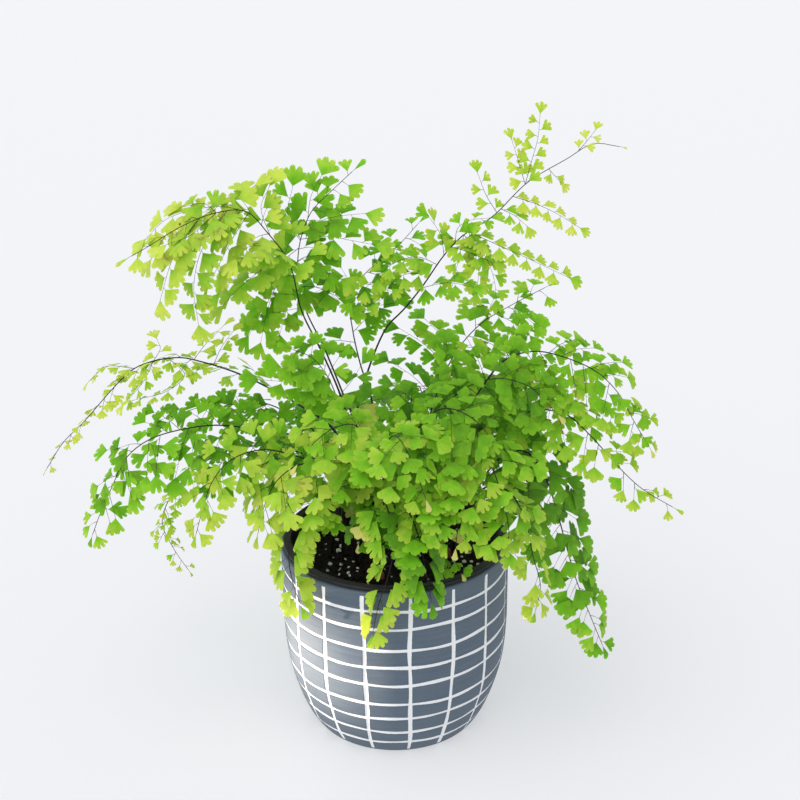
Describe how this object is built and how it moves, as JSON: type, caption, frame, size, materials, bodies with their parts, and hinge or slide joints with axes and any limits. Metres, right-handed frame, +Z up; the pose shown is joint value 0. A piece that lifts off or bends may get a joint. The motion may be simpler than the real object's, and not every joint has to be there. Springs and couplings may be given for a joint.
{
  "type": "potted maidenhair fern",
  "caption": "Maidenhair fern with fan-shaped leaflets on thin black stems, in a black nursery pot that hangs by its lip in a round glazed outer pot with a carved grid.",
  "frame": {"origin": "centre of the outer pot's flat foot, on the surface that it stands on", "axes": "+Z up along the pot's axis, the plant's front faces -Y, +X to its right"},
  "size_m": [0.3496, 0.2314, 0.338],
  "materials": {
    "glaze": "slate grey-blue ceramic with a satin glaze, fine horizontal brush streaks and carved white grid lines",
    "black_plastic": "black moulded nursery pot, slightly glossy lip",
    "potting_soil": "dark damp peat mix with white perlite grains",
    "fired_clay": "rough red-brown fired clay chip",
    "foliage_deep": "deep green leaflets, thin and soft, on near-black wiry stems",
    "foliage_mid": "mid green leaflets with paler edges, on near-black wiry stems",
    "foliage_lime": "yellow-green young leaflets, translucent, on near-black wiry stems"
  },
  "bodies": {
    "root": {"outer_pot": "glaze", "nursery_pot": "black_plastic", "soil": "potting_soil", "clay_chip_1": "fired_clay", "clay_chip_2": "fired_clay", "frond_top_left": "foliage_lime", "frond_top_front": "foliage_deep", "frond_long_right": "foliage_mid", "frond_middle_thin": "foliage_deep", "frond_left_thin": "foliage_mid", "frond_left_droop": "foliage_deep", "frond_left_upper": "foliage_deep", "frond_left_light": "foliage_lime", "frond_left_faint": "foliage_mid", "frond_left_front": "foliage_lime", "frond_left_rim": "foliage_lime", "frond_centre_left": "foliage_lime", "frond_stem_cluster": "foliage_deep", "frond_right_upper": "foliage_mid", "frond_right_back": "foliage_deep", "frond_right_mid": "foliage_mid", "frond_right_low": "foliage_deep", "frond_right_front": "foliage_lime", "frond_front_right": "foliage_mid", "frond_front_mid": "foliage_mid", "frond_front_centre": "foliage_mid", "frond_front_drop": "foliage_deep", "frond_upper_mass": "foliage_deep", "frond_mid_mass": "foliage_deep", "frond_low_mass": "foliage_mid", "frond_inner_low": "foliage_deep", "frond_short_low": "foliage_deep", "frond_back_left": "foliage_deep", "frond_back_mid": "foliage_deep", "frond_back_right": "foliage_deep", "frond_back_low_left": "foliage_deep", "frond_back_low_right": "foliage_deep"}
  },
  "joints": []
}
